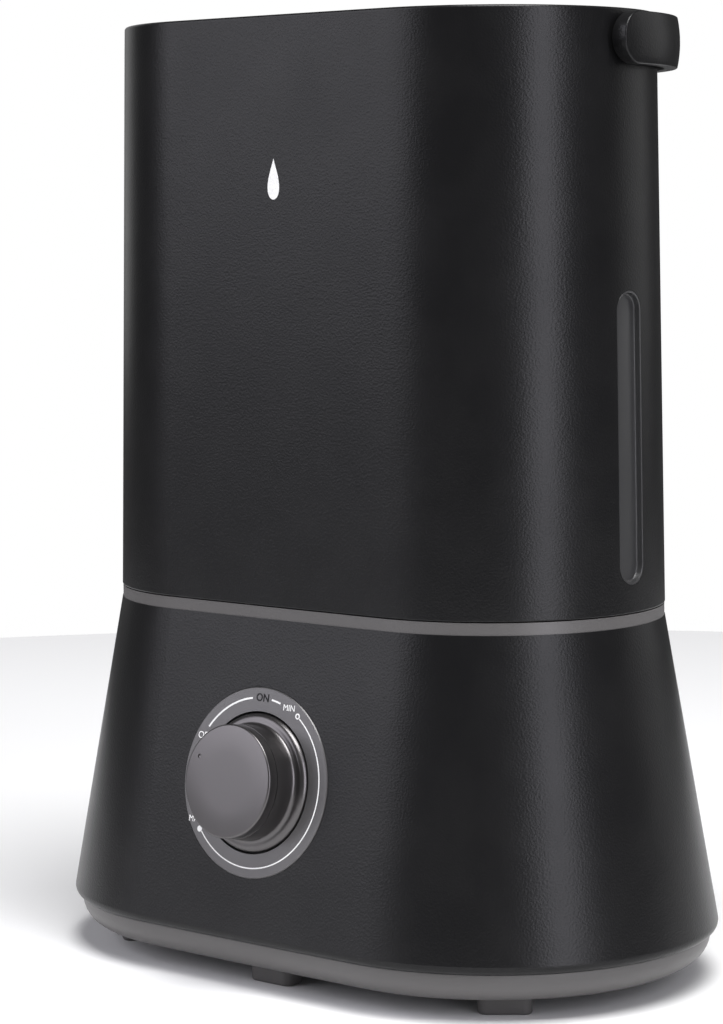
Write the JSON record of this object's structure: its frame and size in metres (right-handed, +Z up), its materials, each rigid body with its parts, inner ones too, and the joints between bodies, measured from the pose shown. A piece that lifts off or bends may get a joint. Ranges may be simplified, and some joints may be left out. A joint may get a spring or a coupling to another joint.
{
  "type": "cool mist humidifier",
  "caption": "Free-standing ultrasonic humidifier: a tall lift-off water tank with a bail handle on a flared base with a round output knob.",
  "frame": {"origin": "on the surface that the feet stand on, under the middle of the tank", "axes": "+Z up, -Y towards the front face with the knob, +X towards the side with the level window"},
  "size_m": [0.249, 0.1723, 0.3276],
  "materials": {
    "black_plastic": "matte, finely textured",
    "grey_plastic": "matte warm grey",
    "dark_tray": "satin",
    "white_plastic": "satin",
    "brushed_grey": "finely brushed, satin",
    "smoked_window": "smoked and clear",
    "rubber": "matte",
    "silicone": "soft and matte",
    "steel": "zinc plated",
    "aluminium": "plain",
    "control_metal": "pressed sheet",
    "ceramic_metal": "plated disc",
    "magnet": "sintered",
    "circuit_board": "green laminate",
    "transformer_tape": "wound and taped",
    "capacitor_sleeve": "shrink sleeve"
  },
  "bodies": {
    "base": {"base_shell": "black_plastic", "bottom_pan": "grey_plastic", "pan_screws": "steel", "foot_pads": "rubber", "water_basin": "grey_plastic", "mist_well": "grey_plastic", "basin_posts": "grey_plastic", "air_tower": "grey_plastic", "transducer_disc": "ceramic_metal", "transducer_seal": "rubber", "transducer_clamp": "aluminium", "transducer_screws": "steel", "float_retainer": "white_plastic", "level_switch": "white_plastic", "dial_plate": "brushed_grey", "control_body": "control_metal", "control_nut": "steel", "fan_frame": "black_plastic", "fan_screws": "steel", "air_duct": "white_plastic", "power_board": "circuit_board", "board_screws": "steel", "transformer": "transformer_tape", "capacitors": "capacitor_sleeve", "heat_sink": "aluminium", "driver_transistor": "black_plastic", "board_connectors": "white_plastic", "cord_gland": "rubber"},
    "knob": {"knob": "grey_plastic", "control_shaft": "steel"},
    "float": {"level_float": "white_plastic", "float_magnet": "magnet"},
    "fan": {"fan_rotor": "black_plastic"},
    "tank": {"tank_shell": "black_plastic", "level_window": "smoked_window", "tank_floor": "white_plastic", "mist_riser": "white_plastic", "top_tray": "dark_tray"},
    "handle": {"handle": "black_plastic", "pivot_washers": "steel", "pivot_screws": "steel"},
    "cap": {"tank_cap": "white_plastic", "cap_seal": "silicone"},
    "valve": {"valve_stem": "white_plastic", "valve_disc": "silicone", "valve_spring": "steel"},
    "outlet": {"outlet_base": "dark_tray", "outlet_seal": "silicone"},
    "nozzle": {"outlet_cap": "grey_plastic"}
  },
  "joints": [
    {"name": "knob_turn", "type": "hinge", "parent": "base", "child": "knob", "pos_m": [0, -0.06906, 0.07], "axis": [0, 0.9848, -0.1737], "range_deg": [0, 285]},
    {"name": "tank_lift", "type": "slide", "parent": "base", "child": "tank", "axis": [0, 0, 1], "range_m": [0, 0.12]},
    {"name": "handle_swing", "type": "hinge", "parent": "tank", "child": "handle", "pos_m": [0, -0.0012, 0.3162], "axis": [1, 0, 0], "range_deg": [0, 90]},
    {"name": "outlet_lift", "type": "slide", "parent": "tank", "child": "outlet", "axis": [0, 0, 1], "range_m": [0, 0.04]},
    {"name": "nozzle_turn", "type": "hinge", "parent": "outlet", "child": "nozzle", "pos_m": [0, 0, 0.315], "axis": [0, 0, 1], "continuous": true},
    {"name": "cap_turn", "type": "hinge", "parent": "tank", "child": "cap", "pos_m": [-0.058, 0, 0.112], "axis": [0, 0, -1], "range_deg": [0, 60]},
    {"name": "valve_slide", "type": "slide", "parent": "cap", "child": "valve", "axis": [0, 0, 1], "range_m": [0, 0.004], "stiffness_N_per_m": 120, "springref_m": -0.002, "deforming": ["valve_spring"]},
    {"name": "float_slide", "type": "slide", "parent": "base", "child": "float", "axis": [0, 0, 1], "range_m": [0, 0.008]},
    {"name": "fan_spin", "type": "hinge", "parent": "base", "child": "fan", "pos_m": [0.066, 0.002, 0.016], "axis": [0, 0, 1], "continuous": true}
  ]
}
